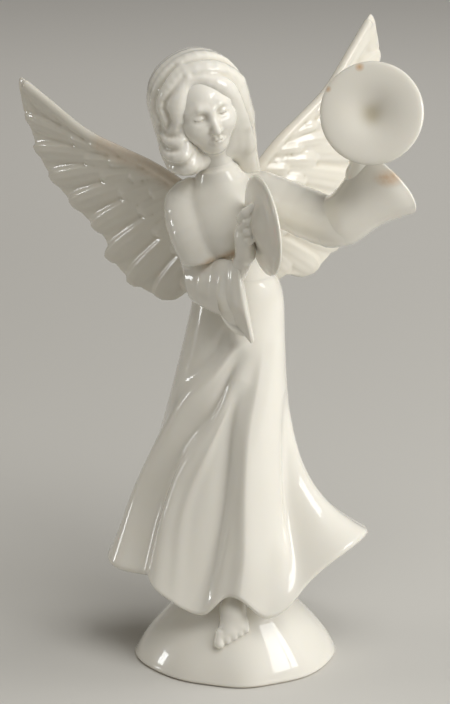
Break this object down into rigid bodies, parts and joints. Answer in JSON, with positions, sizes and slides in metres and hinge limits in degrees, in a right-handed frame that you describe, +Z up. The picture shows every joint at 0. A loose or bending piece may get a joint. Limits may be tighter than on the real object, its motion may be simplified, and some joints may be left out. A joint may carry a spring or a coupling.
{
  "type": "angel figurine",
  "caption": "Free-standing glazed porcelain angel in a long folded robe on a low mound, wings spread, holding one cymbal raised and one at the chest.",
  "frame": {"origin": "on the base's flat underside, straight below the waist", "axes": "+Z up, the figure faces -Y, and the raised cymbal is on the +X side"},
  "size_m": [0.1135, 0.0763, 0.1826],
  "materials": {
    "ivory_glaze": "clear gloss glaze over warm white porcelain"
  },
  "bodies": {
    "root": {"base_mound": "ivory_glaze", "skirt": "ivory_glaze", "bodice": "ivory_glaze", "head": "ivory_glaze", "hair": "ivory_glaze", "right_upper_arm": "ivory_glaze", "right_sleeve": "ivory_glaze", "right_hand": "ivory_glaze", "right_cymbal": "ivory_glaze", "left_upper_arm": "ivory_glaze", "left_sleeve": "ivory_glaze", "left_hand": "ivory_glaze", "left_cymbal": "ivory_glaze", "right_wing": "ivory_glaze", "left_wing": "ivory_glaze", "left_foot": "ivory_glaze"}
  },
  "joints": []
}
